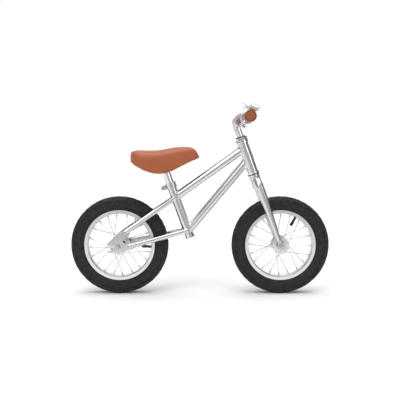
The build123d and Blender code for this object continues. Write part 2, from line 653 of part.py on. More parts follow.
def fork_nodes():
    crown = rod(fork_point(CROWN_FOOT), fork_point(CROWN_TOP), CROWN_D)
    steerer_bore = rod(fork_point(CROWN_FOOT - 1), fork_point(CROWN_TOP + 1), STEERER_D + 2 * RUN_GAP)
    save("fork_crown", crown - steerer_bore)
    steerer_top = HEAD_TOP_UP + 17.0
    save("fork_steerer", rod(fork_point(CROWN_FOOT), fork_point(steerer_top), STEERER_D)
         - rod(fork_point(CROWN_FOOT - 1), fork_point(steerer_top + 1), QUILL_D + 2 * RUN_GAP))

    eye = on_axle(Pos(0, 0, -LEG_Y) * Cylinder(FORK_EYE_D / 2, PLATE_T), FRONT_AXLE)
    tongue = Plane(origin=fork_point(FORK_END_LENGTH / 2, LEG_OFFSET, LEG_Y), x_dir=AHEAD, z_dir=UP)
    tongue = tongue * Box(FORK_END_WIDTH, PLATE_T, FORK_END_LENGTH)
    slot_d = AXLE_D + 2 * SLOT_CLEARANCE
    seat = on_axle(Pos(0, 0, -LEG_Y) * Cylinder(slot_d / 2, 3 * PLATE_T), FRONT_AXLE)
    mouth = Plane(origin=fork_point(-FORK_EYE_D / 2, RAKE, LEG_Y), x_dir=AHEAD, z_dir=UP)
    mouth = mouth * Box(slot_d, 3 * PLATE_T, FORK_EYE_D)
    end = eye + tongue - seat - mouth
    save("fork_ends", end, mirrored(end))

    leg = fork_leg(0) - fork_leg(-LEG_WALL) - crown - end
    leg = max(leg.solids(), key=lambda solid: solid.volume)
    save("fork_leg_left", leg)
    save("fork_leg_right", mirrored(leg))


# --------------------------------------------------------------- headset
def headset_nodes():
    """Two ball races: pressed cups, balls, race and adjuster, locknut."""
    ball_r = HEAD_BALL_D / 2
    pocket_in = HEAD_BALL_CIRCLE_D / 2 + ball_r + BALL_GAP
    pocket_top = 1.2
    ball_out = pocket_top + BALL_GAP + ball_r
    race_face = ball_out + ball_r + BALL_GAP
    skirt_r = HEAD_TUBE_BORE_D / 2 - RUN_GAP
    # Drawn for the upper end, with heights from the head tube's end.
    cup = turned([
        (skirt_r - 1.7, -CUP_SKIRT), (skirt_r, -CUP_SKIRT), (skirt_r, 0), (CUP_D / 2, 0),
        (CUP_D / 2, CUP_H), (pocket_in, CUP_H), (pocket_in, pocket_top), (skirt_r - 1.7, pocket_top),
    ])
    upper = Pos(0, 0, HEAD_TOP_UP)
    lower = Pos(0, 0, HEAD_TUBE_UP) * Rot(180, 0, 0)
    save("headset_cups", on_steering(upper * cup), on_steering(lower * cup))
    bore = STEERER_D + 2 * RUN_GAP
    adjuster = ring(bore, RACE_D, race_face, race_face + 0.8) + ring(
        bore, ADJUSTER_D, race_face + 0.8, race_face + 0.8 + ADJUSTER_H)
    crown_race = ring(bore, RACE_D, race_face, CROWN_SEAT_DROP)
    save("headset_races", on_steering(upper * adjuster), on_steering(lower * crown_race))
    balls = []
    for place in (upper, lower):
        for k in range(HEAD_BALLS):
            spot = Rot(0, 0, k * 360 / HEAD_BALLS) * Pos(HEAD_BALL_CIRCLE_D / 2, 0, ball_out)
            balls.append(on_steering(place * spot * Sphere(ball_r)))
    save("headset_balls", *balls)
    washer_low = race_face + 0.8 + ADJUSTER_H
    nut_low = washer_low + LOCK_WASHER_T
    nut_high = nut_low + LOCKNUT_H
    save("headset_lock_washer", on_steering(upper * ring(bore, LOCK_WASHER_D, washer_low, nut_low)))
    save("headset_locknut", on_steering(upper * hex_nut(LOCKNUT_AF, bore, nut_low, nut_high)))
    top_seal = ring(QUILL_D + 2 * TOUCH_GAP, TOP_SEAL_D, nut_high, nut_high + TOP_SEAL_H)
    seal_low = CUP_H + TOUCH_GAP
    lower_seal = ring(RACE_D + 0.2, CUP_D - 0.6, seal_low, CROWN_SEAT_DROP)
    upper_seal = ring(RACE_D + 0.2, CUP_D - 0.6, seal_low, race_face + 0.8)
    save("headset_seals", on_steering(upper * top_seal), on_steering(upper * upper_seal),
         on_steering(lower * lower_seal))


# ------------------------------------------------------- stem, bar, bell
BAR_CENTRE = fork_point(STEM_CLAMP_UP, STEM_REACH)


def stem_nodes():
    quill_foot = QUILL_TOP - QUILL_LENGTH
    quill = rod(fork_point(quill_foot), fork_point(QUILL_TOP), QUILL_D)
    bore = rod(fork_point(quill_foot - 1), fork_point(QUILL_TOP - 20), QUILL_BORE_D)
    arm_points = [(386, 4.0), (QUILL_TOP + 4, -9.0), (417, 0.0), (423, 10.0), (425.5, 24.0),
                  (423, STEM_REACH),
                  (STEM_CLAMP_UP, STEM_REACH), (392, 20.0)]
    arm = [fork_point(up, ahead) for up, ahead in arm_points]
    half = STEM_ARM_WIDTH / 2
    arm = flat_plate([(point.X, point.Z) for point in arm], -half, half)
    half_clamp = SIDE * STEM_CLAMP_WIDTH / 2
    clamp = rod(BAR_CENTRE - half_clamp, BAR_CENTRE + half_clamp, STEM_CLAMP_D)
    # The split runs from the bar, down and back at 45 degrees.
    split_plane = Plane(origin=BAR_CENTRE, x_dir=(-1, 0, -1), z_dir=(-1, 0, 1))
    ear = split_plane * Pos(CLAMP_BOLT_OUT - 4, 0, 0) * Box(20, STEM_CLAMP_WIDTH - 14, 2 * EAR_HALF)
    split = split_plane * Pos(25, 0, 0) * Box(50, STEM_CLAMP_WIDTH + 10, STEM_SPLIT)
    bar_hole = rod(BAR_CENTRE - SIDE * 60, BAR_CENTRE + SIDE * 60, BAR_D + 2 * RUN_GAP)
    bolt_hole = split_plane * Pos(CLAMP_BOLT_OUT, 0, -5) * Cylinder(CLAMP_BOLT_D / 2 + RUN_GAP, 30)
    top_hole = rod(fork_point(QUILL_TOP - 30), fork_point(QUILL_TOP + 40), EXPANDER_D + 1.0)
    head_seat = fork_point(QUILL_TOP - EXPANDER_HEAD_H)
    head_hole = rod(head_seat, fork_point(QUILL_TOP + 40), EXPANDER_HEAD_D + 1.0)
    slope = Plane(origin=fork_point(quill_foot), x_dir=AHEAD, z_dir=UP)
    slope_cut = slope * Rot(0, 35, 0) * Pos(0, 0, -40) * Box(120, 60, 80)
    body = quill + arm + clamp + ear - bore - top_hole - head_hole - bar_hole
    body = body - split - bolt_hole - slope_cut
    save("stem", max(body.solids(), key=lambda solid: solid.volume))

    wedge_blank = rod(fork_point(quill_foot - WEDGE_LENGTH), fork_point(quill_foot + 12), QUILL_D - 0.2)
    wedge_cut = slope * Rot(0, 35, 0) * Pos(0, 0, 40 - TOUCH_GAP) * Box(120, 60, 80)
    thread = rod(fork_point(quill_foot - 60), fork_point(quill_foot + 60), EXPANDER_D + 2 * RUN_GAP)
    save("stem_wedge", wedge_blank - wedge_cut - thread)
    bolt_top = QUILL_TOP - 0.5
    bolt = rod(fork_point(quill_foot - WEDGE_LENGTH), fork_point(bolt_top - 1), EXPANDER_D)
    bolt = bolt + rod(fork_point(bolt_top - EXPANDER_HEAD_H + 0.5), fork_point(bolt_top), EXPANDER_HEAD_D)
    key = on_steering(Pos(0, 0, bolt_top - 4) * extrude(RegularPolygon(3, 6, major_radius=False), 5))
    save("stem_expander_bolt", bolt - key)
    shank = Pos(CLAMP_BOLT_OUT, 0, -3) * Cylinder(CLAMP_BOLT_D / 2, 22)
    head = Pos(CLAMP_BOLT_OUT, 0, 0) * hex_nut(10.0, 1.0, -EAR_HALF - 5.0, -EAR_HALF)
    save("stem_clamp_bolt", split_plane * (shank + head))


def bar_end(side):
    return BAR_CENTRE + Vector(-BAR_END_BACK, side * BAR_HALF, -BAR_END_DROP)


def bar_shoulder(side):
    return BAR_CENTRE + Vector(0, side * BAR_CENTRE_HALF, 0)


def bar_nodes():
    points = [bar_end(-1), bar_shoulder(-1), bar_shoulder(1), bar_end(1)]
    path = FilletPolyline(*points, radius=BAR_BEND_R)
    start = Plane(origin=path @ 0, z_dir=path % 0)
    bar = sweep(start * Circle(BAR_D / 2), path=path) - sweep(start * Circle(BAR_D / 2 - BAR_WALL), path=path)
    save("handlebar", bar)
    for name, side in (("grip_left", 1), ("grip_right", -1)):
        outward = (bar_end(side) - bar_shoulder(side)).normalized()
        bore_r = BAR_D / 2 + RUN_GAP
        half, end_half = GRIP_D / 2, GRIP_END_D / 2
        foot = GRIP_CAP_T - GRIP_LENGTH
        grip = turned([
            (0, 0.2), (0, GRIP_CAP_T), (end_half - 1.5, GRIP_CAP_T), (end_half, GRIP_CAP_T - 1.5),
            (end_half, GRIP_CAP_T - GRIP_END_T), (half, GRIP_CAP_T - GRIP_END_T - 2), (half, foot + 5),
            (end_half, foot + 4), (end_half, foot + 1), (end_half - 1, foot), (bore_r, foot), (bore_r, 0.2),
        ])
        save(name, Plane(origin=bar_end(side), z_dir=outward) * grip)


def bell_nodes():
    """Small brass bell on a band round the bar, with a thumb striker."""
    share = (abs(BELL_Y) - BAR_CENTRE_HALF) / (BAR_HALF - BAR_CENTRE_HALF)
    bar_at = BAR_CENTRE + Vector(-BAR_END_BACK * share, BELL_Y, -BAR_END_DROP * share)
    tilt = radians(BELL_TIP_DOWN)
    ahead = Vector(cos(tilt), 0, -sin(tilt))
    up = Vector(sin(tilt), 0, cos(tilt))
    centre = bar_at + up * BELL_ABOVE_BAR + ahead * 5.0
    bell = Plane(origin=centre, x_dir=up, z_dir=ahead)
    # In this plane: x is up, y is to the bike's right, z is ahead.
    r = BELL_DOME_D / 2
    inner_r = r - BELL_DOME_WALL
    back, front = -BELL_DOME_BACK, BELL_DOME_FRONT
    screw_hole = BELL_SCREW_D / 2 + RUN_GAP
    dome = turned([
        (inner_r, back), (r, back), (r, front - 9), (r - 1, front - 8.4), (r - 1, front - 7.6),
        (r, front - 7),
        (r, front - 3), (r - 3, front), (screw_hole, front), (screw_hole, front - BELL_DOME_WALL),
        (inner_r - 2, front - BELL_DOME_WALL), (inner_r, front - 3.5),
    ])
    save("bell_dome", bell * dome)
    post_back = -BELL_DOME_BACK - 2.0
    post_far = post_back - BELL_POST_T
    bar_local = bell.to_local_coords(bar_at)
    post_low = bar_local.X + BAR_D / 2 + 1.0
    foot_t = -r - TOUCH_GAP - post_low
    post = Pos((post_low + 4) / 2, 0, (post_back + post_far) / 2) * Box(4 - post_low, 8, BELL_POST_T)
    foot = Pos(post_low + foot_t / 2, 0, (post_far + bar_local.Z) / 2) * Box(
        foot_t, BELL_BAND_WIDTH, bar_local.Z - post_far)
    ear_front, ear_back = post_far, -BELL_PIVOT_BACK - 2.5
    ears = [Pos(-BELL_PIVOT_DROP, y, (ear_front + ear_back) / 2) * Box(6, 1.4, ear_front - ear_back)
            for y in (-3.3, 3.3)]
    pin_line = Pos(-BELL_PIVOT_DROP, 0, -BELL_PIVOT_BACK) * Rot(90, 0, 0)
    pin_hole = pin_line * Cylinder(BELL_PIN_D / 2 + RUN_GAP, 30)
    tapped = Pos(0, 0, post_back) * Cylinder(BELL_SCREW_D / 2 + RUN_GAP, 20)
    along_bar = (bar_end(-1) - bar_shoulder(-1)).normalized()
    half_band = along_bar * (BELL_BAND_WIDTH / 2)
    band = rod(bar_at - half_band, bar_at + half_band, BAR_D + 2 * BELL_BAND_T)
    bar_clear = rod(bar_at - along_bar * 30, bar_at + along_bar * 30, BAR_D + 2 * RUN_GAP)
    bracket = bell * (post + foot + ears - pin_hole - tapped) + band - bar_clear
    save("bell_bracket", bracket)
    screw = Pos(0, 0, (post_far + front + 1) / 2) * Cylinder(BELL_SCREW_D / 2, front + 1 - post_far)
    cap_r = 4.2
    cap = turned([(0, front + 0.1), (cap_r, front + 0.1), (cap_r, front + 1.4), (2.6, front + 2.6),
                  (0, front + 2.6)])
    save("bell_screw", bell * (screw + cap))
    save("bell_pin", bell * pin_line * Cylinder(BELL_PIN_D / 2, 9.0))
    # Striker: a strip from the barrel back to the thumb, with a tab under it.
    root, tip = -BELL_PIVOT_BACK, -BELL_LEVER_TIP_BACK
    strip = [(root + 2, -2.2), (root + 2, -0.6), (tip, 4.2), (tip - 0.5, 2.6)]
    tab = [(root - 5, 0.4), (root - 10.5, -13.0), (root - 9.0, -13.6), (root - 3, -0.6)]
    side_on = Plane(origin=(0, 0, 0), x_dir=(0, 0, 1), z_dir=(0, 1, 0))
    blades = [extrude(side_on * make_face(Polyline(*outline, close=True)), width / 2, both=True)
              for outline, width in ((strip, 4.6), (tab, 8.0))]
    barrel = pin_line * Cylinder(2.7, 4.6)
    lever = barrel + blades - pin_hole
    save("bell_lever", bell * lever)


os.makedirs("parts", exist_ok=True)
for name, axle, old, valve_angle, first_angle in (
        ("front", FRONT_AXLE, FRONT_OLD, FRONT_VALVE_ANGLE, FRONT_FIRST_SPOKE),
        ("rear", REAR_AXLE, REAR_OLD, REAR_VALVE_ANGLE, REAR_FIRST_SPOKE)):
    wheel_nodes(name, axle, old, valve_angle, first_angle)
    axle_nodes(name, axle, old)
frame_nodes()
seat_clamp_nodes()
seat_post_nodes()
fork_nodes()
headset_nodes()
stem_nodes()
bar_nodes()
bell_nodes()
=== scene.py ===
import json
from math import cos, pi, radians, sin

import bpy
import bmesh
from mathutils import Matrix, Vector


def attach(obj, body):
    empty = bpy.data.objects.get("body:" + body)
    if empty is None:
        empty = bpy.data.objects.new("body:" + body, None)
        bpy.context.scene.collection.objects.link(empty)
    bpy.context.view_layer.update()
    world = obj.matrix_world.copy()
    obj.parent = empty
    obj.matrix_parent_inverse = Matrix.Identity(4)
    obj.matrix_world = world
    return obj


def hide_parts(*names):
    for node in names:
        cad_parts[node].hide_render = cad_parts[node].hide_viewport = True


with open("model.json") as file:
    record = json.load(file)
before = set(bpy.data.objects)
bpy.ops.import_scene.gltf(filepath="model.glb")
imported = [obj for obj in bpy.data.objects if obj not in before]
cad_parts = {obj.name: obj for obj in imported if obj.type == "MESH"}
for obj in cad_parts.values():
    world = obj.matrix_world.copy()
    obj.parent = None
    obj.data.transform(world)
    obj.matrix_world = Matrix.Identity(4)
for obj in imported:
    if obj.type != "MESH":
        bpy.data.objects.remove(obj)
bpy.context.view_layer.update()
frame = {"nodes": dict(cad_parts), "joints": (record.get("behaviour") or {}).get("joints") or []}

bl_info = {
    "name": "Balance Bike Looks",
    "version": (1, 0, 0),
    "blender": (4, 5, 0),
    "location": "3D View > Sidebar > Balance Bike",
    "description": "Tyres, saddle, grips, smooth joints and finishes for a child's balance bike",
    "category": "Object",
}

MM = 0.001

# ---- Lines and centres of the bike, from the frame ----
JOINTS = {joint["name"]: joint for joint in frame["joints"]}
UP = Vector(JOINTS["steering"]["axis"]).normalized()
SIDE = Vector((0, 1, 0))
AHEAD = SIDE.cross(UP)
HEAD_MIDDLE = Vector(JOINTS["steering"]["pos_m"])
SADDLE_BOLT = Vector(JOINTS["saddle_tilt"]["pos_m"])
BAR_CENTRE = Vector(JOINTS["handlebar_tilt"]["pos_m"])
AXLES = {side: Vector(JOINTS[f"{side}_wheel_spin"]["pos_m"]) for side in ("front", "rear")}
TYRE_R = AXLES["front"].z
LUG_EDGE_R = TYRE_R - 12.6 * MM
RING_PITCH = 1.5 * MM
BAR_STRAIGHT_HALF = 48 * MM
PAD_CORE_HEIGHT = 15 * MM
INFLATE_FRAMES = 20

# ---- The frame's tubes: radii, and where their ends lie along the head tube and the seat tube ----
HEAD_TUBE_R, SEAT_TUBE_R, MAIN_TUBE_R, STAY_R = 17 * MM, 14.3 * MM, 12.7 * MM, 8 * MM
HEAD_TUBE_LOW, HEAD_TUBE_HIGH = -46.2 * MM, 46.7 * MM
SEAT_TUBE_LOW, SEAT_TUBE_HIGH = -226.8 * MM, -51.2 * MM
TOP_TUBE_AT_HEAD, TOP_TUBE_AT_SEAT = 29.6 * MM, -97.7 * MM
DOWN_TUBE_AT_HEAD, DOWN_TUBE_AT_SEAT = -5.5 * MM, -210.8 * MM
CHAIN_STAY_AT_SEAT = -207 * MM
SEAT_STAY_SPREAD, CHAIN_STAY_SPREAD, DROPOUT_SPREAD = 8 * MM, 12 * MM, 57.5 * MM
SEAT_STAY_FOOT = Vector((24 * MM, 0, 46 * MM))
CHAIN_STAY_FOOT = Vector((34 * MM, 0, 3 * MM))
STUB_REACH = 62 * MM
FILLET_REACH = STUB_REACH - 12 * MM

# ---- Studio: the paper floor reaches far back and ends just out of sight in front ----
FLOOR_REACH = 30.0
FLOOR_FRONT = 0.9
FLOOR_DROP = 0.2 * MM
LIGHTS_AIM = Vector((0, 0, 0.3))


def steering_point(up, ahead=0.0, side=0.0):
    """A point from the head tube's middle, along, ahead of and beside the steering axis."""
    return HEAD_MIDDLE + UP * up + AHEAD * ahead + SIDE * side


def seat_point(up, side=0.0):
    """A point on the seat tube's line, from the saddle bolt."""
    return SADDLE_BOLT + UP * up + SIDE * side


# ----------------------------------------------------------------- shader tools
class Value:
    """A node socket whose arithmetic adds Math nodes."""

    def __init__(self, finish, socket):
        self.finish = finish
        self.socket = socket

    def maths(self, operation, *others):
        """A Math node whose first input is this value."""
        return self.finish.maths(operation, self, *others)

    def __add__(self, other):
        return self.maths("ADD", other)

    def __mul__(self, other):
        return self.maths("MULTIPLY", other)

    def __sub__(self, other):
        return self.maths("SUBTRACT", other)

    def __rsub__(self, other):
        return self.finish.maths("SUBTRACT", other, self)

    def __truediv__(self, other):
        return self.maths("DIVIDE", other)

    def __pow__(self, other):
        return self.maths("POWER", other)

    __radd__ = __add__
    __rmul__ = __mul__


class Finish:
    """A material, its Principled shader and the nodes that vary it."""

    def __init__(self, name, **constants):
        self.material = bpy.data.materials.new(name)
        self.material.use_nodes = True
        self.tree = self.material.node_tree
        self.shader = self.tree.nodes["Principled BSDF"]
        for socket, value in constants.items():
            self.shader.inputs[socket.replace("_", " ")].default_value = value
        self.place = self.node("ShaderNodeTexCoord", {}, {}, "Object")

    @classmethod
    def on_tree(cls, tree, shader):
        """The same tools on a world's nodes, with the direction of view as the place."""
        room = cls.__new__(cls)
        room.tree, room.shader = tree, shader
        room.place = room.node("ShaderNodeTexCoord", {}, {}, "Generated")
        return room

    def node(self, kind, settings, inputs, output=0):
        """Any node: its settings are set first, then the values or links of its sockets."""
        node = self.tree.nodes.new(kind)
        for name, value in settings.items():
            if name == "stops":
                for stop, (position, shade) in zip(ramp_stops(node, len(value)), value):
                    stop.position = position
                    stop.color = (shade, shade, shade, 1)
            else:
                setattr(node, name, value)
        for key, value in inputs.items():
            self.feed(pick(node.inputs, key), value)
        return Value(self, pick(node.outputs, output))

    def maths(self, operation, *inputs):
        return self.node("ShaderNodeMath", {"operation": operation}, dict(enumerate(inputs)))

    def rise(self, value, low, high):
        """0 at low, 1 at high, and level beyond them."""
        inputs = {"Value": value, "From Min": low, "From Max": high}
        return self.node("ShaderNodeMapRange", {}, inputs, "Result")

    def feed(self, socket, value):
        """Links a value to a socket, or sets the socket to a constant."""
        if isinstance(value, Value):
            self.tree.links.new(value.socket, socket)
        else:
            socket.default_value = value

    def give(self, socket, value):
        """Links a varying value to one of the shader's sockets."""
        self.feed(self.shader.inputs[socket], value)

    def turned_place(self, turn=(0, 0, 0), stretch=(1, 1, 1), centre=(0, 0, 0)):
        """Object coordinates from a centre, turned and then stretched."""
        inputs = {0: self.place, 1: tuple(centre)}
        moved = self.node("ShaderNodeVectorMath", {"operation": "SUBTRACT"}, inputs)
        return self.node("ShaderNodeMapping", {}, {"Vector": moved, "Rotation": turn, "Scale": stretch})

    def noise(self, per_metre, detail=3.0, roughness=0.55, place=None):
        inputs = {"Vector": place or self.place, "Scale": per_metre, "Detail": detail, "Roughness": roughness}
        return self.node("ShaderNodeTexNoise", {}, inputs, "Fac")

    def cells(self, per_metre, feature="F1"):
        inputs = {"Vector": self.place, "Scale": per_metre}
        return self.node("ShaderNodeTexVoronoi", {"feature": feature}, inputs, "Distance")

    def ramp(self, value, *stops):
        return self.node("ShaderNodeValToRGB", {"stops": stops}, {"Fac": value})

    def mix(self, factor, first, second):
        return self.node("ShaderNodeMix", {"data_type": "RGBA"},
                         {"Factor_Float": factor, "A_Color": first, "B_Color": second}, "Result_Color")

    def from_axle(self, centre):
        """Distance from a line along Y through centre."""
        away = self.turned_place(stretch=(1, 0, 1), centre=centre)
        return self.node("ShaderNodeVectorMath", {"operation": "LENGTH"}, {0: away}, "Value")

    def bump(self, height, depth, strength=1.0):
        normal = self.node("ShaderNodeBump", {}, {"Height": height, "Distance": depth, "Strength": strength})
        self.give("Normal", normal)


def ramp_stops(node, count):
    stops = node.color_ramp.elements
    while len(stops) < count:
        stops.new(1.0)
    return stops


def pick(sockets, key):
    """A socket by number, or the one in use by identifier or name."""
    if isinstance(key, int):
        return sockets[key]
    return next(socket for socket in sockets if socket.enabled and key in (socket.identifier, socket.name))


def shade(colour, factor):
    """A colour made lighter or darker, with full alpha."""
    return tuple(min(1.0, part * factor) for part in colour[:3]) + (1.0,)


# -------------------------------------------------------------------- finishes
def along_x(direction):
    """The turn that brings a direction onto local X for a Mapping node."""
    return tuple(Vector(direction).rotation_difference(Vector((1, 0, 0))).to_euler())


def polished_tube(name, direction):
    """Clear-coated aluminium, rubbed along the tube."""
    look = bpy.context.scene.bike_finishes
    finish = Finish(name, Metallic=1.0, Coat_Roughness=0.06, Coat_IOR=1.5)
    along = finish.turned_place(turn=along_x(direction), stretch=(0.04, 1, 1))
    streaks = finish.noise(700, 3, 0.5, along)
    smudge = finish.noise(28, 3, 0.6)
    dark, pale = shade(look.frame_colour, 0.90), shade(look.frame_colour, 1.07)
    finish.give("Base Color", finish.mix(streaks * 0.5 + smudge * 0.4, dark, pale))
    finish.give("Roughness", streaks * 0.07 + smudge * 0.08 + look.frame_roughness)
    finish.give("Coat Weight", smudge * 0.2 + 0.3)
    finish.bump(streaks, 0.00001, 0.35)
    return finish.material


def chrome_plate(name):
    """Bright plating with faint finger marks."""
    finish = Finish(name, Metallic=1.0)
    film = finish.noise(45, 4, 0.6)
    specks = finish.ramp(finish.noise(900, 2), (0.60, 0.0), (0.74, 1.0))
    finish.give("Base Color", finish.mix(film, (0.74, 0.75, 0.77, 1), (0.86, 0.87, 0.88, 1)))
    finish.give("Roughness", film * 0.10 + specks * 0.06 + 0.035)
    finish.bump(film, 0.00008, 0.35)
    return finish.material


def lathe_turned(name, centre, colour, roughness):
    """Alloy with fine turned rings about an axle."""
    finish = Finish(name, Metallic=1.0)
    radius = finish.from_axle(centre)
    wobble = finish.noise(60, 2)
    rings = finish.node("ShaderNodeTexNoise", {"noise_dimensions": "1D"},
                        {"W": radius, "Scale": 2600.0, "Detail": 2.0}, "Fac")
    grey = finish.mix(rings * 0.6 + wobble * 0.4, shade(colour, 0.84), shade(colour, 1.08))
    finish.give("Base Color", grey)
    finish.give("Roughness", rings * 0.14 + wobble * 0.08 + roughness)
    finish.bump(rings, 0.00002, 0.5)
    return finish.material


def zinc_plate(name):
    """Plated steel with a dull bloom and small scuffs."""
    finish = Finish(name, Metallic=1.0)
    bloom = finish.noise(160, 4, 0.65)
    scuffs = finish.ramp(finish.noise(1400, 3, 0.7), (0.55, 0.0), (0.70, 1.0))
    finish.give("Base Color", finish.mix(bloom, (0.48, 0.48, 0.50, 1), (0.72, 0.72, 0.71, 1)))
    finish.give("Roughness", bloom * 0.16 + scuffs * 0.18 + 0.16)
    finish.bump(bloom + scuffs * 0.5, 0.00004, 0.6)
    return finish.material


def bright_wire(name):
    """Drawn stainless wire."""
    finish = Finish(name, Metallic=1.0)
    drawn = finish.noise(1800, 2)
    finish.give("Base Color", finish.mix(drawn, (0.50, 0.51, 0.53, 1), (0.66, 0.67, 0.69, 1)))
    finish.give("Roughness", drawn * 0.16 + 0.16)
    return finish.material


def tyre_rubber(name, centre):
    """Dark rubber: fine moulded rings on the side wall, scuffed with dust on the tread, and a pale painted
    highlight in patches along the lug edges.
    """
    look = bpy.context.scene.bike_finishes
    finish = Finish(name, IOR=1.36)
    radius = finish.from_axle(centre)
    mottle = finish.noise(55, 4, 0.6)
    grit = finish.noise(1500, 2, 0.7)
    worn = finish.rise(radius, TYRE_R - 4 * MM, TYRE_R)
    dust = finish.ramp(finish.noise(90, 5, 0.7), (0.42, 0.0), (0.72, 1.0))
    dark = finish.mix(mottle, shade(look.tyre_colour, 0.75), shade(look.tyre_colour, 1.3))
    from_edge = ((radius - LUG_EDGE_R) / (1.6 * MM)).maths("ABSOLUTE")
    patches = finish.ramp(mottle, (0.40, 0.0), (0.62, 1.0))
    # Painted highlight: a pale line in patches along the lug edges, standing in for light catching the
    # moulded edges.
    lug_edge_painted_highlight = finish.ramp(from_edge, (0.0, 1.0), (1.0, 0.0)) * patches
    # Real dust and tread wear, mixed with the painted highlight along the lug edges.
    dust_wear_and_painted_highlight = dust * 0.35 + worn * 0.25 + lug_edge_painted_highlight * 0.7
    finish.give("Base Color", finish.mix(dust_wear_and_painted_highlight, dark, shade(look.dust_and_highlight_colour, 1.0)))
    finish.give("Roughness", mottle * 0.14 + dust * 0.12 + worn * 0.1 + 0.54)
    side_zone = finish.rise(radius, TYRE_R - 17 * MM, TYRE_R - 20 * MM)
    rings = (radius * (2 * pi / RING_PITCH)).maths("SINE")
    finish.bump(rings * side_zone * 0.35 + grit * 0.35 + mottle * 0.5, 0.00028, 0.8)
    return finish.material


def plain_rubber(name, colour, roughness):
    """Smooth black rubber with a faint mould texture."""
    finish = Finish(name, IOR=1.5)
    mottle = finish.noise(240, 4, 0.6)
    finish.give("Base Color", finish.mix(mottle, shade(colour, 0.7), shade(colour, 1.5)))
    finish.give("Roughness", mottle * 0.2 + roughness)
    finish.bump(finish.noise(1700, 2), 0.00006, 0.6)
    return finish.material


def tan_leather(name):
    """Smooth tan leather: pebbled grain, soft colour clouds, paler where it is rubbed."""
    look = bpy.context.scene.bike_finishes
    finish = Finish(name, IOR=1.46, Sheen_Weight=0.12, Sheen_Roughness=0.45, Coat_Roughness=0.32)
    warp = finish.noise(320, 2)
    pebble = finish.cells(820, "DISTANCE_TO_EDGE")
    grain = finish.ramp(pebble, (0.0, 0.0), (0.16, 1.0))
    fine = finish.cells(2100)
    clouds = finish.noise(24, 4, 0.55)
    tone = finish.mix(clouds, shade(look.leather_colour, 0.82), shade(look.leather_colour, 1.16))
    creased = finish.mix(grain, shade(look.leather_colour, 0.70), tone)
    finish.give("Base Color", creased)
    finish.give("Roughness", clouds * 0.12 + (1 - grain) * 0.10 + warp * 0.06 + 0.34)
    finish.give("Coat Weight", clouds * 0.15 + 0.08)
    finish.bump(grain * 0.7 + fine * 0.25 + warp * 0.3, 0.00016, 0.55)
    return finish.material


def tan_grip(name):
    """Matt tan rubber with a fine sandblasted mould finish."""
    look = bpy.context.scene.bike_finishes
    finish = Finish(name, IOR=1.5, Sheen_Weight=0.08)
    clouds = finish.noise(90, 3)
    grit = finish.noise(2400, 2, 0.7)
    dark, pale = shade(look.grip_colour, 0.80), shade(look.grip_colour, 1.18)
    finish.give("Base Color", finish.mix(clouds, dark, pale))
    finish.give("Roughness", clouds * 0.15 + grit * 0.1 + 0.44)
    finish.bump(grit, 0.00010, 0.7)
    return finish.material


def moulded_plastic(name):
    """Black moulded plastic with a spark-eroded texture."""
    finish = Finish(name, IOR=1.48)
    grit = finish.noise(1900, 3, 0.7)
    flow = finish.noise(40, 3)
    finish.give("Base Color", finish.mix(flow, (0.012, 0.012, 0.013, 1), (0.030, 0.030, 0.032, 1)))
    finish.give("Roughness", grit * 0.18 + flow * 0.1 + 0.34)
    finish.bump(grit, 0.00012, 0.7)
    return finish.material


# --------------------------------------------------------------- modelling tools
def select_only(*objects):
    """Leaves only these objects selected; the last one is active."""
    bpy.ops.object.select_all(action="DESELECT")
    for obj in objects:
        obj.select_set(True)
        bpy.context.view_layer.objects.active = obj


def named(obj, name):
    obj.name = name
    obj.data.name = name
    return obj


def loop_of(points, name):
    """A ring of edges through points, from a circle primitive."""
    bpy.ops.object.select_all(action="DESELECT")
    bpy.ops.mesh.primitive_circle_add(vertices=len(points), radius=1.0)
    obj = named(bpy.context.object, name)
    for vertex, point in zip(obj.data.vertices, points):
        vertex.co = point
    return obj


def spun(name, outline, centre, axis, across, steps, sweep=2 * pi):
    """Spins an outline of (distance from the axis, distance along it) about an axis through centre."""
    centre, axis, across = Vector(centre), Vector(axis), Vector(across)
    obj = loop_of([centre + across * radius + axis * along for radius, along in outline], name)
    select_only(obj)
    bpy.ops.object.mode_set(mode="EDIT")
    bpy.ops.mesh.select_all(action="SELECT")
    if sweep < 2 * pi:
        bpy.ops.mesh.edge_face_add()
        bpy.ops.mesh.select_all(action="SELECT")
    bpy.ops.mesh.spin(steps=steps, angle=sweep, center=centre, axis=axis)
    tidy_normals()
    return obj


def tidy_normals():
    """In edit mode: merges doubles, turns all faces outwards and leaves edit mode."""
    bpy.ops.mesh.select_all(action="SELECT")
    bpy.ops.mesh.remove_doubles(threshold=0.02 * MM)
    bpy.ops.mesh.normals_make_consistent(inside=False)
    bpy.ops.object.mode_set(mode="OBJECT")


def put_in_place(obj):
    """Moves an object's place into its mesh."""
    select_only(obj)
    bpy.ops.object.transform_apply(location=True, rotation=True, scale=True)
    return obj


def modify(obj, kind, **settings):
    """Adds a modifier and applies it."""
    select_only(obj)
    modifier = obj.modifiers.new(kind.title(), kind)
    for name, value in settings.items():
        setattr(modifier, name, value)
    bpy.ops.object.modifier_apply(modifier=modifier.name)
    return obj


def around(obj, centre, axis, count):
    """Repeats a piece evenly about an axis through centre, with merged meshes."""
    pieces = [obj]
    for number in range(1, count):
        select_only(obj)
        bpy.ops.object.duplicate()
        copy = bpy.context.object
        turn = Matrix.Rotation(2 * pi * number / count, 4, Vector(axis))
        copy.data.transform(Matrix.Translation(centre) @ turn @ Matrix.Translation(-Vector(centre)))
        pieces.append(copy)
    return joined(*pieces)


def joined(*pieces):
    """Joins pieces into the first one."""
    select_only(*reversed(pieces))
    bpy.ops.object.join()
    return bpy.context.object


def smooth(obj, degrees=35):
    select_only(obj)
    bpy.ops.object.shade_smooth_by_angle(angle=radians(degrees))
    return obj


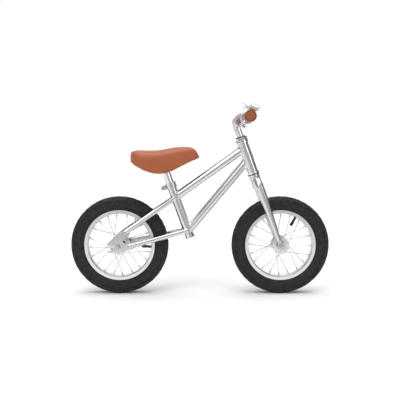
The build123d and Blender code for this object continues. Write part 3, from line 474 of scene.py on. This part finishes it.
def copied(node, name):
    """A merged copy of a CAD node's mesh."""
    source = frame["nodes"][node]
    obj = source.copy()
    obj.data = source.data.copy()
    obj.parent = None
    for key in [key for key in obj.keys() if key.startswith("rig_")]:
        del obj[key]
    bpy.context.collection.objects.link(obj)
    named(obj, name)
    obj.data.materials.clear()
    select_only(obj)
    bpy.ops.object.mode_set(mode="EDIT")
    bpy.ops.mesh.select_all(action="SELECT")
    bpy.ops.mesh.remove_doubles(threshold=0.001 * MM)
    bpy.ops.object.mode_set(mode="OBJECT")
    return obj


def dressed(obj, body, slot, material, *replaced):
    """Gives a finished piece its finish, its body and the CAD nodes that it stands for."""
    obj.data.materials.clear()
    obj.data.materials.append(material)
    if replaced:
        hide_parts(*replaced)
    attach(obj, body)
    return obj


def rod(start, end, radius, vertices=64):
    """A cylinder between two points."""
    start, end = Vector(start), Vector(end)
    run = end - start
    bpy.ops.object.select_all(action="DESELECT")
    bpy.ops.mesh.primitive_cylinder_add(vertices=vertices, radius=radius, depth=run.length,
                                        location=(start + end) / 2,
                                        rotation=run.to_track_quat("Z", "Y").to_euler())
    return put_in_place(bpy.context.object)


def outside(point, tube):
    """How far a point stands outside a tube's surface."""
    start, end, radius = tube
    run = end - start
    share = max(0.0, min(1.0, (point - start).dot(run) / run.length_squared))
    return (point - start - run * share).length - radius


def brazed_fillet(name, centre, tubes, reach):
    """The smooth fillet round a brazed joint: tubes melted together, kept only where they stand proud."""
    stubs = [rod(start, end, radius - 0.05 * MM) for start, end, radius in tubes]
    obj = named(joined(*stubs), name)
    modify(obj, "REMESH", mode="VOXEL", voxel_size=1.4 * MM)
    modify(obj, "SMOOTH", factor=0.5, iterations=90)
    select_only(obj)
    bpy.ops.object.mode_set(mode="EDIT")
    bpy.ops.mesh.select_all(action="DESELECT")
    mesh = bmesh.from_edit_mesh(obj.data)
    for face in mesh.faces:
        middle = face.calc_center_median()
        buried = min(outside(middle, tube) for tube in tubes) < -0.16 * MM
        face.select_set(buried or (middle - centre).length > reach)
    bmesh.update_edit_mesh(obj.data)
    bpy.ops.mesh.delete(type="FACE")
    bpy.ops.object.mode_set(mode="OBJECT")
    modify(obj, "SOLIDIFY", thickness=0.7 * MM, offset=-1.0)
    return smooth(obj, 60)


# -------------------------------------------------------------------- settings
def length(name, description, default):
    return bpy.props.FloatProperty(name=name, description=description, default=default, min=0.0,
                                   subtype="DISTANCE", unit="LENGTH")


def share(name, description, default):
    return bpy.props.FloatProperty(name=name, description=description, default=default, min=0.0, max=1.0,
                                   subtype="FACTOR")


def watts(name, description, default):
    return bpy.props.FloatProperty(name=name, description=description, default=default, min=0.0, unit="POWER")


def number(name, description, default):
    return bpy.props.IntProperty(name=name, description=description, default=default, min=1)


def colour(name, description, default):
    return bpy.props.FloatVectorProperty(name=name, description=description, default=default, size=3,
                                         min=0.0, max=1.0, subtype="COLOR")


class TyreSizes(bpy.types.PropertyGroup):
    half_width: length("Half width", "Widest point of the tyre from its middle", 22.6 * MM)
    widest_radius: length("Widest radius", "Distance of the widest point from the axle", 127 * MM)
    groove_depth: length("Groove depth", "How deep the tread grooves are", 2.6 * MM)
    bead_half_width: length("Bead half width", "Half the width across the beads", 12.4 * MM)
    bead_radius: length("Bead radius", "Where the beads end inside the rim", 103 * MM)
    rim_edge_radius: length("Rim edge", "Where the side wall comes out of the rim", 110.2 * MM)
    wall: length("Wall", "Thickness of the casing", 3 * MM)
    shoulder_blocks: number("Shoulder blocks", "Long blocks on each shoulder", 20)
    shoulder_share: share("Shoulder share", "How much of its pitch a shoulder block fills", 0.82)
    centre_blocks: number("Centre blocks", "Blocks in each middle row", 40)
    centre_share: share("Centre share", "How much of its pitch a centre block fills", 0.72)


class SaddleSizes(bpy.types.PropertyGroup):
    voxel: length("Voxel", "Grid size when the pad is remeshed", 2.4 * MM)
    shrink: length("Shrink", "How far the pad is drawn in before it is inflated", 1.2 * MM)
    swell: length("Swell", "How far the skin may stand out from its mould", 0.8 * MM)
    pressure: bpy.props.FloatProperty(name="Pressure", description="Air pressure in the pad", default=4.0)


class GripSizes(bpy.types.PropertyGroup):
    bore_radius: length("Bore", "Radius of the bar inside the grip", 11.2 * MM)
    body_radius: length("Body", "Radius of the gripped part", 14.6 * MM)
    flange_radius: length("Flange", "Radius of the flange at the closed end", 17.2 * MM)
    collar_radius: length("Collar", "Radius of the collar at the open end", 15.6 * MM)
    rib_count: number("Ribs", "Rings round the gripped part", 15)
    rib_height: length("Rib height", "How far a rib stands up", 0.9 * MM)
    scallops: number("Scallops", "Hollows round the end flange", 12)


class FinishChoices(bpy.types.PropertyGroup):
    frame_colour: colour("Frame", "Polished aluminium of the frame and fork", (0.66, 0.66, 0.67))
    frame_roughness: share("Frame roughness", "Dullness of the polish", 0.16)
    rim_colour: colour("Rim", "Satin alloy of the rims", (0.80, 0.79, 0.77))
    leather_colour: colour("Saddle", "Tan leather of the saddle", (0.45, 0.112, 0.034))
    grip_colour: colour("Grips", "Tan rubber of the grips", (0.33, 0.090, 0.032))
    tyre_colour: colour("Tyres", "Dark rubber of the tyres", (0.010, 0.010, 0.011))
    # Also the colour of the painted highlight along the tyres' lug edges, besides the dust and wear on the
    # tread.
    dust_and_highlight_colour: colour("Dust", "Dust in the tread", (0.075, 0.070, 0.063))


class StageSettings(bpy.types.PropertyGroup):
    camera_distance: length("Camera distance", "From the camera to the bike's middle plane", 1.8)
    camera_height: length("Camera height", "Above the floor", 0.45)
    camera_pitch: bpy.props.FloatProperty(name="Camera pitch", description="How far the camera looks down",
                                          default=radians(5.07), subtype="ANGLE")
    lens: bpy.props.FloatProperty(name="Lens", description="Focal length in millimetres", default=52.5)
    key_power: watts("Key light", "Power of the main soft light", 9.0)
    fill_power: watts("Fill light", "Power of the side light", 1.6)


# ----------------------------------------------------------------------- tyres
def casing_outline(size):
    """Half profile of the casing as (radius, side) points, from the bead out and over to the middle."""
    crown = TYRE_R - size.groove_depth
    rise = crown - size.widest_radius
    squareness = 2 / 2.5
    steps = 12
    over = []
    for step in range(steps):
        angle = pi / 2 * step / steps
        over.append((size.widest_radius + rise * sin(angle) ** squareness,
                     size.half_width * cos(angle) ** squareness))
    below = [(size.bead_radius, size.bead_half_width), (size.rim_edge_radius, size.bead_half_width),
             (size.rim_edge_radius + 1.2 * MM, size.bead_half_width + 2.4 * MM),
             (size.rim_edge_radius + 5 * MM, size.half_width - 3.6 * MM),
             (size.rim_edge_radius + 10.5 * MM, size.half_width - 0.8 * MM)]
    return below + over + [(crown, 0.0)]


def tyre_block(name, wheel, section, start, sweep):
    """A tread block: a closed (radius, side) section swept part of a turn, with softened edges."""
    centre = AXLES[wheel]
    across = Matrix.Rotation(start, 3, SIDE) @ Vector((0, 0, -1))
    block = spun(name, section, centre, SIDE, across, 4, sweep)
    return modify(block, "BEVEL", width=0.5 * MM, segments=1, limit_method="ANGLE",
                  angle_limit=radians(40))


class BIKE_OT_tyres(bpy.types.Operator):
    """Casings with long shoulder blocks, a two-row middle tread and a ribbed side wall"""
    bl_idname = "bike.tyres"
    bl_label = "Tyres"

    def execute(self, context):
        for wheel in AXLES:
            self.tyre(context.scene.bike_tyres, wheel)
        return {"FINISHED"}

    def tyre(self, size, wheel):
        centre = AXLES[wheel]
        half = casing_outline(size)
        outer = half + [(radius, -side) for radius, side in reversed(half[:-1])]
        narrower = 1 - size.wall / size.half_width
        inner = [(radius - size.wall * (radius > size.rim_edge_radius), side * narrower)
                 for radius, side in reversed(outer)]
        pieces = [spun(f"{wheel}_air_tyre", outer + inner, centre, SIDE, Vector((0, 0, 1)), 120)]
        crown = TYRE_R - size.groove_depth
        root = crown - 1.2 * MM
        shoulder = [(root - 1 * MM, 10.5 * MM), (crown + 1.7 * MM, 10.5 * MM), (crown + 0.4 * MM, 15.5 * MM),
                    (crown - 3.2 * MM, 19.8 * MM), (crown - 7.0 * MM, 22.9 * MM), (LUG_EDGE_R, 22.9 * MM),
                    (crown - 8.5 * MM, 19.0 * MM)]
        low, high = 1.0 * MM, 8.4 * MM
        middle = [(root, low), (TYRE_R, low), (TYRE_R - 0.35 * MM, high), (root, high)]
        for side in (1, -1):
            pieces.append(self.row(wheel, shoulder, side, size.shoulder_blocks, size.shoulder_share))
            pieces.append(self.row(wheel, middle, side, size.centre_blocks, size.centre_share))
        tyre = smooth(named(joined(*pieces), f"{wheel}_air_tyre"), 42)
        rubber = tyre_rubber(f"{wheel}_tyre_rubber", centre)
        dressed(tyre, f"{wheel}_wheel", "tyre_rubber", rubber, f"{wheel}_tyre")

    def row(self, wheel, section, side, count, filled):
        """A ring of blocks on one side; the left rows are half a pitch ahead of the right ones."""
        pitch = 2 * pi / count
        start = -pitch * filled / 2 + (pitch / 2 if side > 0 else 0)
        mirrored = [(radius, along * side) for radius, along in section]
        block = tyre_block("tread_block", wheel, mirrored, start, pitch * filled)
        return around(block, AXLES[wheel], SIDE, count)


# ---------------------------------------------------------------------- saddle
class BIKE_OT_saddle(bpy.types.Operator):
    """The padded saddle: its skin swells over the foam and stays tight at the skirt's edge"""
    bl_idname = "bike.saddle"
    bl_label = "Saddle"

    def execute(self, context):
        size = context.scene.bike_saddle
        pad = copied("saddle_cover", "saddle_pad")
        modify(pad, "REMESH", mode="VOXEL", voxel_size=size.voxel)
        modify(pad, "SMOOTH", factor=0.5, iterations=2)
        rest = [vertex.co.copy() for vertex in pad.data.vertices]
        normals = [vertex.normal.copy() for vertex in pad.data.vertices]
        free = [self.share_free(point, normal) for point, normal in zip(rest, normals)]
        for vertex, share in zip(pad.data.vertices, free):
            vertex.co -= vertex.normal * size.shrink * share
        self.inflate(context, pad, free, size)
        for vertex, start, normal, share in zip(pad.data.vertices, rest, normals, free):
            move = (vertex.co - start).dot(normal)
            vertex.co = start + normal * max(-size.shrink, min(move, size.swell)) * share
        modify(pad, "SMOOTH", factor=0.5, iterations=2)
        modify(pad, "SUBSURF", levels=1, render_levels=1)
        smooth(pad, 80)
        dressed(pad, "saddle", "tan_leather", tan_leather("tan_leather"), "saddle_cover")
        return {"FINISHED"}

    def share_free(self, point, normal):
        """1 on the outer skin, which may swell; 0 in the hollow underneath and at the skirt's edge."""
        outward = Vector((0, point.y, point.z - SADDLE_BOLT.z - PAD_CORE_HEIGHT))
        facing_out = outward.length > 0 and normal.dot(outward) > 0
        return 1.0 if facing_out and normal.z > -0.3 else 0.0

    def inflate(self, context, pad, free, size):
        pinned = pad.vertex_groups.new(name="pinned")
        for index, share in enumerate(free):
            pinned.add([index], 1.0 - share, "REPLACE")
        cloth = pad.modifiers.new("Cloth", "CLOTH")
        cloth.settings.use_pressure = True
        cloth.settings.uniform_pressure_force = size.pressure
        cloth.settings.vertex_group_mass = pinned.name
        cloth.settings.effector_weights.gravity = 0
        cloth.settings.tension_stiffness = 40
        cloth.settings.compression_stiffness = 40
        cloth.settings.bending_stiffness = 4
        for moment in range(1, INFLATE_FRAMES + 1):
            context.scene.frame_set(moment)
        select_only(pad)
        bpy.ops.object.modifier_apply(modifier=cloth.name)
        context.scene.frame_set(1)
        pad.vertex_groups.clear()


# ----------------------------------------------------------------------- grips
class BIKE_OT_grips(bpy.types.Operator):
    """Ribbed grips with a flange at each end and a scalloped rim round the closed end"""
    bl_idname = "bike.grips"
    bl_label = "Grips"

    def execute(self, context):
        material = tan_grip("tan_grip")
        for name in ("grip_left", "grip_right"):
            self.grip(context.scene.bike_grips, name, material)
        return {"FINISHED"}

    def grip(self, size, node, material):
        side = 1 if node == "grip_left" else -1
        shoulder = BAR_CENTRE + SIDE * side * BAR_STRAIGHT_HALF
        points = [vertex.co for vertex in frame["nodes"][node].data.vertices]
        outward = self.outward(points, side)
        along = [(point - shoulder).dot(outward) for point in points]
        end, foot = shoulder + outward * max(along), shoulder + outward * min(along)
        half_turn = outward.orthogonal().normalized()
        outline = self.outline(size, (end - foot).length)
        grip = spun(f"ribbed_{node}", outline, foot, outward, half_turn, 96)
        self.scallop(grip, size, foot, end, outward)
        smooth(grip, 38)
        dressed(grip, "handlebar", "tan_grip", material, node)

    def outward(self, points, side):
        """Direction of the bar in a grip, from the bar's bend to the middle of the grip's outer fifth."""
        ordered = sorted(points, key=lambda point: point.y * side)
        fifth = len(ordered) // 5
        outer = sum(ordered[-fifth:], Vector()) / fifth
        bend_y = side * BAR_STRAIGHT_HALF
        return Vector((outer.x - BAR_CENTRE.x, outer.y - bend_y, outer.z - BAR_CENTRE.z)).normalized()

    def outline(self, size, span):
        """(radius, along) points from the open end, over the ribs, to the closed end and back inside."""
        bore, body, flange = size.bore_radius, size.body_radius, size.flange_radius
        collar = size.collar_radius
        points = [(bore, 0.0), (collar - 0.8 * MM, 0.0), (collar, 0.8 * MM), (collar, 3.2 * MM),
                  (collar - 0.8 * MM, 4.0 * MM), (body, 5.2 * MM)]
        start, stop = 8 * MM, span - 12 * MM
        pitch = (stop - start) / size.rib_count
        for rib in range(size.rib_count):
            at = start + pitch * rib
            crest, flank = body + size.rib_height, body + size.rib_height * 0.8
            points += [(body, at), (flank, at + pitch * 0.16), (crest, at + pitch * 0.36),
                       (flank, at + pitch * 0.56), (body, at + pitch * 0.72)]
        points += [(body, span - 9 * MM), (body + 0.8 * MM, span - 7.4 * MM),
                   (flange - 0.8 * MM, span - 6.4 * MM), (flange, span - 5.4 * MM),
                   (flange, span - 1.6 * MM), (flange - 0.5 * MM, span - 0.5 * MM),
                   (flange - 1.6 * MM, span), (flange - 2.4 * MM, span - 0.3 * MM),
                   (flange - 2.8 * MM, span - 2.0 * MM), (flange - 4.0 * MM, span - 2.0 * MM),
                   (flange - 4.6 * MM, span - 0.9 * MM), (flange - 8 * MM, span - 0.6 * MM),
                   (4.5 * MM, span - 0.5 * MM), (3.6 * MM, span - 1.2 * MM), (0.0, span - 1.3 * MM),
                   (0.0, span - 2.75 * MM), (bore, span - 2.75 * MM)]
        return points

    def scallop(self, grip, size, foot, end, outward):
        """Hollows the closed end's flange between its lobes."""
        across = outward.orthogonal().normalized()
        other = outward.cross(across)
        span = (end - foot).length
        for vertex in grip.data.vertices:
            place = vertex.co - foot
            along = place.dot(outward)
            away = place - outward * along
            if along < span - 7 * MM or away.length < size.flange_radius - 2.4 * MM:
                continue
            angle = Vector((1, 0)).angle_signed(Vector((away.dot(across), away.dot(other))))
            wave = 0.5 + 0.5 * cos(size.scallops * angle)
            vertex.co -= away.normalized() * (1.1 * MM * wave ** 2)


# --------------------------------------------------- forged and brazed pieces
def frame_tubes():
    """(start, end, radius) of the frame's main tubes."""
    tubes = {
        "head": (steering_point(HEAD_TUBE_LOW), steering_point(HEAD_TUBE_HIGH), HEAD_TUBE_R),
        "seat": (seat_point(SEAT_TUBE_LOW), seat_point(SEAT_TUBE_HIGH), SEAT_TUBE_R),
        "top": (steering_point(TOP_TUBE_AT_HEAD), seat_point(TOP_TUBE_AT_SEAT), MAIN_TUBE_R),
        "down": (steering_point(DOWN_TUBE_AT_HEAD), seat_point(DOWN_TUBE_AT_SEAT), MAIN_TUBE_R),
    }
    for name, side in (("left", 1), ("right", -1)):
        dropout = AXLES["rear"] + SIDE * side * DROPOUT_SPREAD
        tubes[f"seat_stay_{name}"] = (seat_point(TOP_TUBE_AT_SEAT, SEAT_STAY_SPREAD * side),
                                      dropout + SEAT_STAY_FOOT, STAY_R)
        tubes[f"chain_stay_{name}"] = (seat_point(CHAIN_STAY_AT_SEAT, CHAIN_STAY_SPREAD * side),
                                       dropout + CHAIN_STAY_FOOT, STAY_R)
    return tubes


def cropped(tube, centre, reach):
    """The stretch of a tube within reach of a point."""
    start, end, radius = tube
    run = (end - start).normalized()
    middle = (centre - start).dot(run)
    low = max(0.0, middle - reach)
    high = min((end - start).length, middle + reach)
    return (start + run * low, start + run * high, radius)


class BIKE_OT_joint_fillets(bpy.types.Operator):
    """Smooth filled joints where the frame's tubes meet"""
    bl_idname = "bike.joint_fillets"
    bl_label = "Joint Fillets"

    def execute(self, context):
        tubes = frame_tubes()
        material = polished_tube("polished_joints", UP)
        rear_stays = [name for name in tubes if "stay" in name]
        for name, at, near in (
                ("head_joint_fillet", steering_point(12 * MM), ("head", "top", "down")),
                ("seat_joint_fillet", tubes["top"][1], ("seat", "top", *rear_stays[0::2])),
                ("lower_joint_fillet", tubes["down"][1], ("seat", "down", *rear_stays[1::2]))):
            stubs = [cropped(tubes[tube], at, STUB_REACH) for tube in near]
            fillet = brazed_fillet(name, at, stubs, FILLET_REACH)
            dressed(fillet, "frame", "polished_frame", material)
        return {"FINISHED"}


class BIKE_OT_forgings(bpy.types.Operator):
    """The stem as a forging with rounded edges"""
    bl_idname = "bike.forgings"
    bl_label = "Stem Forging"

    def execute(self, context):
        stem = copied("stem", "stem_forging")
        modify(stem, "REMESH", mode="VOXEL", voxel_size=0.8 * MM)
        modify(stem, "SMOOTH", factor=0.5, iterations=5)
        smooth(stem, 60)
        dressed(stem, "stem", "chrome", chrome_plate("stem_chrome"), "stem")
        return {"FINISHED"}


# -------------------------------------------------------------------- finishes
class BIKE_OT_finishes(bpy.types.Operator):
    """Finishes for the pieces that come from the frame"""
    bl_idname = "bike.finishes"
    bl_label = "Finishes"

    def execute(self, context):
        look = context.scene.bike_finishes
        tubes = frame_tubes()
        directions = {
            "head_tube": UP, "seat_tube": UP, "seat_tube_plug": UP, "seat_clamp_collar": UP, "fork_crown": UP,
            "fork_leg_left": UP, "fork_leg_right": UP, "fork_ends": UP, "dropouts": Vector((1, 0, 0)),
            "top_tube": tubes["top"][1] - tubes["top"][0], "down_tube": tubes["down"][1] - tubes["down"][0],
            "seat_stays": Vector((-1, 0, -0.5)), "chain_stays": Vector((-1, 0, -0.1)),
        }
        for node, direction in directions.items():
            self.paint(polished_tube(f"polished_{node}", direction), node)
        self.paint(polished_tube("badge_metal", SIDE), "head_badge")
        self.paint(chrome_plate("chrome"), "handlebar", "seat_post", "bell_dome", "bell_bracket",
                   "bell_lever", "bell_screw", "headset_locknut", "headset_races", "headset_cups")
        self.paint(zinc_plate("zinc_steel"), "seat_clamp_bolt", "stem_expander_bolt", "stem_clamp_bolt",
                   "rear_axle", "rear_axle_nuts", "front_axle", "front_axle_nuts", "bell_pin", "saddle_bolt",
                   "saddle_clamp", "saddle_rails", "rear_hub_cones", "front_hub_cones", "headset_balls",
                   "front_hub_balls", "rear_hub_balls", "fork_steerer", "stem_wedge")
        for wheel, centre in AXLES.items():
            self.paint(lathe_turned(f"{wheel}_rim_alloy", centre, look.rim_colour, 0.22), f"{wheel}_rim")
            self.paint(lathe_turned(f"{wheel}_hub_alloy", centre, look.rim_colour, 0.14), f"{wheel}_hub")
            self.paint(bright_wire(f"{wheel}_spoke_steel"), f"{wheel}_spokes", f"{wheel}_nipples")
            tube_rubber = plain_rubber(f"{wheel}_tube_rubber", (0.012, 0.012, 0.012), 0.34)
            self.paint(tube_rubber, f"{wheel}_inner_tube")
        # Black rubber for the headset seals and the lock washer. The seals are real black rubber; the black
        # on these thin rings, the lock washer included, is also painted shade for the dark gaps in the
        # headset stack.
        seal_rubber = plain_rubber("seal_rubber", (0.014, 0.014, 0.015), 0.42)
        self.paint(seal_rubber, "headset_seals", "headset_lock_washer")
        self.paint(moulded_plastic("saddle_plastic"), "saddle_base")
        return {"FINISHED"}

    def paint(self, material, *nodes):
        for node in nodes:
            for slot in frame["nodes"][node].material_slots:
                slot.material = material


# ----------------------------------------------------------------------- stage
class BIKE_OT_stage(bpy.types.Operator):
    """Pale floor, soft light and the camera"""
    bl_idname = "bike.stage"
    bl_label = "Stage"

    def execute(self, context):
        stage = context.scene.bike_stage
        self.floor()
        self.sky(context)
        self.soft_light("key_light", (-0.9, -1.5, 1.9), 0.7, stage.key_power)
        self.soft_light("fill_light", (1.5, -1.2, 0.9), 0.4, stage.fill_power)
        camera = bpy.data.cameras.new("camera")
        camera.lens = stage.lens
        holder = bpy.data.objects.new("camera", camera)
        context.collection.objects.link(holder)
        holder.location = (0.0, -stage.camera_distance, stage.camera_height)
        holder.rotation_euler = (pi / 2 - stage.camera_pitch, 0, 0)
        context.scene.camera = holder
        context.scene.view_settings.view_transform = "Standard"
        return {"FINISHED"}

    def floor(self):
        bpy.ops.object.select_all(action="DESELECT")
        middle = (0, FLOOR_REACH - FLOOR_FRONT, -FLOOR_DROP)
        bpy.ops.mesh.primitive_plane_add(size=2 * FLOOR_REACH, location=middle)
        floor = put_in_place(named(bpy.context.object, "floor"))
        finish = Finish("floor_paper", IOR=1.4)
        fibre = finish.noise(12, 3)
        finish.give("Base Color", finish.mix(fibre, (0.90, 0.90, 0.90, 1), (0.93, 0.93, 0.93, 1)))
        finish.give("Roughness", fibre * 0.1 + 0.72)
        floor.data.materials.append(finish.material)

    def sky(self, context):
        """A white wall behind the bike and a grey room round it, bright overhead."""
        world = bpy.data.worlds.new("soft_room")
        context.scene.world = world
        world.use_nodes = True
        room = Finish.on_tree(world.node_tree, world.node_tree.nodes["Background"])
        parts = room.node("ShaderNodeSeparateXYZ", {}, {"Vector": room.place}, "X")
        across, ahead, up = (Value(room, socket) for socket in parts.socket.node.outputs)
        wall = room.ramp(ahead, (0.74, 0.0), (0.92, 1.0))
        front = room.ramp(-1 * ahead, (0.10, 0.0), (0.60, 1.0))
        overhead = room.ramp(up, (0.80, 0.0), (0.90, 1.0))
        side = room.ramp(up, (0.0, 0.14), (0.5, 0.24), (0.8, 0.40))
        strip = room.ramp((across + 0.45) ** 2 * 90, (0.0, 1.0), (0.9, 0.0))
        level = side + front * 0.40 + overhead * 2.6 + strip * front * 1.1
        room.give("Strength", wall + (1 - wall) * level)
        room.give("Color", room.mix(wall, (0.97, 0.985, 1.0, 1), (1, 1, 1, 1)))

    def soft_light(self, name, place, size, power):
        """A square soft light that faces the bike."""
        light = bpy.data.lights.new(name, "AREA")
        light.size = size
        light.energy = power
        holder = bpy.data.objects.new(name, light)
        bpy.context.collection.objects.link(holder)
        holder.location = place
        aim = LIGHTS_AIM - Vector(place)
        holder.rotation_euler = aim.to_track_quat("-Z", "Y").to_euler()


class BIKE_PT_parts(bpy.types.Panel):
    """Builds the looks of the balance bike, piece by piece"""
    bl_idname = "BIKE_PT_parts"
    bl_label = "Balance Bike"
    bl_space_type = "VIEW_3D"
    bl_region_type = "UI"
    bl_category = "Balance Bike"

    def draw(self, context):
        for operator in OPERATORS:
            self.layout.operator(operator.bl_idname)


OPERATORS = (BIKE_OT_finishes, BIKE_OT_tyres, BIKE_OT_saddle, BIKE_OT_grips, BIKE_OT_joint_fillets,
             BIKE_OT_forgings, BIKE_OT_stage)
SETTINGS = {"bike_tyres": TyreSizes, "bike_saddle": SaddleSizes, "bike_grips": GripSizes,
            "bike_finishes": FinishChoices, "bike_stage": StageSettings}


def register():
    for each in (*SETTINGS.values(), *OPERATORS, BIKE_PT_parts):
        bpy.utils.register_class(each)
    for name, settings in SETTINGS.items():
        setattr(bpy.types.Scene, name, bpy.props.PointerProperty(type=settings))


def unregister():
    for name in SETTINGS:
        delattr(bpy.types.Scene, name)
    for each in (BIKE_PT_parts, *reversed(OPERATORS), *reversed(tuple(SETTINGS.values()))):
        bpy.utils.unregister_class(each)


def main():
    register()
    for operator in OPERATORS:
        group, name = operator.bl_idname.split(".")
        getattr(getattr(bpy.ops, group), name)()


if __name__ == "__main__":
    main()
